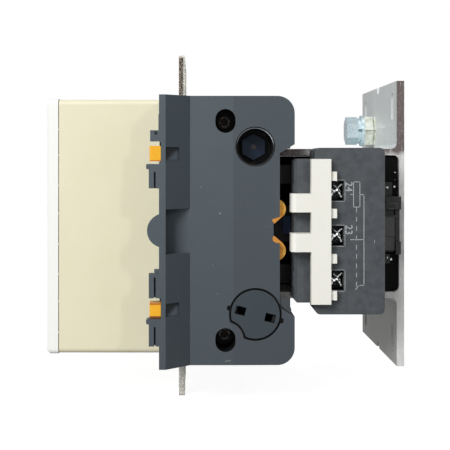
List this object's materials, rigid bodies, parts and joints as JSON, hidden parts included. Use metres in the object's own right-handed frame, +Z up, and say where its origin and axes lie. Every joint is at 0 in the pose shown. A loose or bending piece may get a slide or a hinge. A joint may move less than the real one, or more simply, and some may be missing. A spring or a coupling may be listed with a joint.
{
  "type": "magnetic contactor",
  "caption": "Power contactor with flat terminal bars, arc chamber, sliding contact carrier and side-entry coil on an extruded aluminium base.",
  "frame": {"origin": "centre of the base's rear face, midway between its four mounting slots", "axes": "+X to the coil side, +Y back into the mounting plane, +Z up along the terminal bars"},
  "size_m": [0.1634, 0.1717, 0.1685],
  "materials": {
    "aluminium_base": "sawn extrusion",
    "grey_moulding": "fine grained moulding",
    "cream_moulding": "satin moulding",
    "white_moulding": "satin moulding",
    "coil_moulding": "satin moulding",
    "black_plastic": "satin moulding",
    "amber_plastic": "glossy moulding",
    "plated_bar": "silver plated, dull",
    "contact_silver": "satin",
    "bridge_copper": "satin copper",
    "laminated_steel": "blued laminations",
    "zinc_steel": "blue zinc plated",
    "blued_steel": "blue-black",
    "spring_steel": "drawn wire",
    "rubber_pad": "matt",
    "winding_copper": "enamelled"
  },
  "bodies": {
    "frame": {"mounting_base": "aluminium_base", "pole_housing": "grey_moulding", "side_support": "grey_moulding", "blanking_cap": "grey_moulding", "side_bolts": "blued_steel", "side_screws": "zinc_steel", "line_tips": "contact_silver", "load_tips": "contact_silver", "bar_screws": "zinc_steel", "magnet_yoke": "laminated_steel", "shading_rings": "bridge_copper", "yoke_pads": "rubber_pad", "coil_body": "coil_moulding", "coil_terminal_plates": "zinc_steel", "coil_terminal_screws": "zinc_steel", "coil_winding": "winding_copper", "terminal_cover": "white_moulding", "coil_clip": "black_plastic", "arc_chamber": "cream_moulding", "chamber_cap": "white_moulding", "chamber_screws": "zinc_steel", "frame_screws": "zinc_steel", "earth_nut": "zinc_steel", "earth_washer": "zinc_steel", "earth_spring_washer": "zinc_steel", "earth_screw": "zinc_steel", "line_bar_1": "plated_bar", "load_bar_1": "plated_bar", "splitter_plates_1": "zinc_steel", "line_bar_2": "plated_bar", "load_bar_2": "plated_bar", "splitter_plates_2": "zinc_steel", "line_bar_3": "plated_bar", "load_bar_3": "plated_bar", "splitter_plates_3": "zinc_steel"},
    "carrier": {"contact_carrier": "black_plastic", "armature": "laminated_steel", "armature_pin": "zinc_steel", "return_spring_left": "spring_steel", "return_spring_right": "spring_steel", "contact_spring_1": "spring_steel", "contact_spring_2": "spring_steel", "contact_spring_3": "spring_steel"},
    "bridge_body_1": {"bridge_1": "bridge_copper", "bridge_tips_1": "contact_silver"},
    "bridge_body_2": {"bridge_2": "bridge_copper", "bridge_tips_2": "contact_silver"},
    "bridge_body_3": {"bridge_3": "bridge_copper", "bridge_tips_3": "contact_silver"},
    "upper_latch_body": {"upper_latch": "amber_plastic"},
    "lower_latch_body": {"lower_latch": "amber_plastic"},
    "rocker_body": {"coil_rocker": "amber_plastic"}
  },
  "joints": [
    {"name": "carrier_slide", "type": "slide", "parent": "frame", "child": "carrier", "axis": [0, 1, 0], "range_m": [0, 0.0085], "stiffness_N_per_m": 1500, "springref_m": -0.02, "deforming": ["return_spring_left", "return_spring_right"]},
    {"name": "bridge_slide_1", "type": "slide", "parent": "carrier", "child": "bridge_body_1", "axis": [0, 1, 0], "range_m": [-0.0025, 0], "deforming": ["contact_spring_1"]},
    {"name": "bridge_slide_2", "type": "slide", "parent": "carrier", "child": "bridge_body_2", "axis": [0, 1, 0], "range_m": [-0.0025, 0], "deforming": ["contact_spring_2"]},
    {"name": "bridge_slide_3", "type": "slide", "parent": "carrier", "child": "bridge_body_3", "axis": [0, 1, 0], "range_m": [-0.0025, 0], "deforming": ["contact_spring_3"]},
    {"name": "upper_latch_slide", "type": "slide", "parent": "frame", "child": "upper_latch_body", "axis": [0, 0, 1], "range_m": [0, 0.0016], "stiffness_N_per_m": 200, "springref_m": -0.003},
    {"name": "lower_latch_slide", "type": "slide", "parent": "frame", "child": "lower_latch_body", "axis": [0, 0, 1], "range_m": [0, 0.0016], "stiffness_N_per_m": 200, "springref_m": -0.003},
    {"name": "rocker_turn", "type": "hinge", "parent": "frame", "child": "rocker_body", "pos_m": [0.06405, -0.072, -0.0021], "axis": [1, 0, 0], "range_deg": [-5, 5]}
  ],
  "couplings": [
    {"joint": "bridge_slide_1", "follows": "carrier_slide", "ratio": -0.2941},
    {"joint": "bridge_slide_2", "follows": "carrier_slide", "ratio": -0.2941},
    {"joint": "bridge_slide_3", "follows": "carrier_slide", "ratio": -0.2941}
  ]
}
